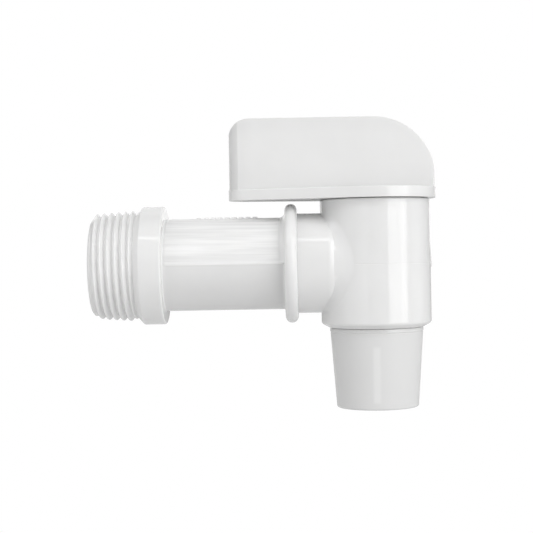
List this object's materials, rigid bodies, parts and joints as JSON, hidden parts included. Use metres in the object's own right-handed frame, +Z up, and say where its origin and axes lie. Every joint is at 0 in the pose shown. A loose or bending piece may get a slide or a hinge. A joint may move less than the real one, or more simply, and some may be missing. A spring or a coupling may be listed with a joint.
{
  "type": "drum tap",
  "caption": "Quarter-turn plastic drum tap with a taper pipe thread, a collared inlet pipe, an upright housing, a top lever and a tapered downward spout.",
  "frame": {"origin": "on the thread's axis, where the thread meets the wrench collar's cone", "axes": "-X along the thread into the drum, +Z up along the lever's axis, the spout pointing to -Z"},
  "size_m": [0.0864, 0.0308, 0.0728],
  "materials": {
    "natural_polyethylene": "satin, slightly translucent natural white",
    "seal_rubber": "matte black seal rubber",
    "seat_elastomer": "matte off-white sealing elastomer"
  },
  "bodies": {
    "housing": {"inlet_barrel": "natural_polyethylene", "barrel_oring": "seal_rubber", "seat_ring": "seat_elastomer", "valve_body": "natural_polyethylene", "outlet_nozzle": "natural_polyethylene"},
    "rotor": {"valve_plug": "natural_polyethylene", "plug_oring_upper": "seal_rubber", "plug_oring_lower": "seal_rubber", "lever_handle": "natural_polyethylene"}
  },
  "joints": [
    {"name": "lever_turn", "type": "hinge", "parent": "housing", "child": "rotor", "pos_m": [0.0599, 0, 0.0156], "axis": [0, 0, 1], "range_deg": [0, 90]}
  ]
}
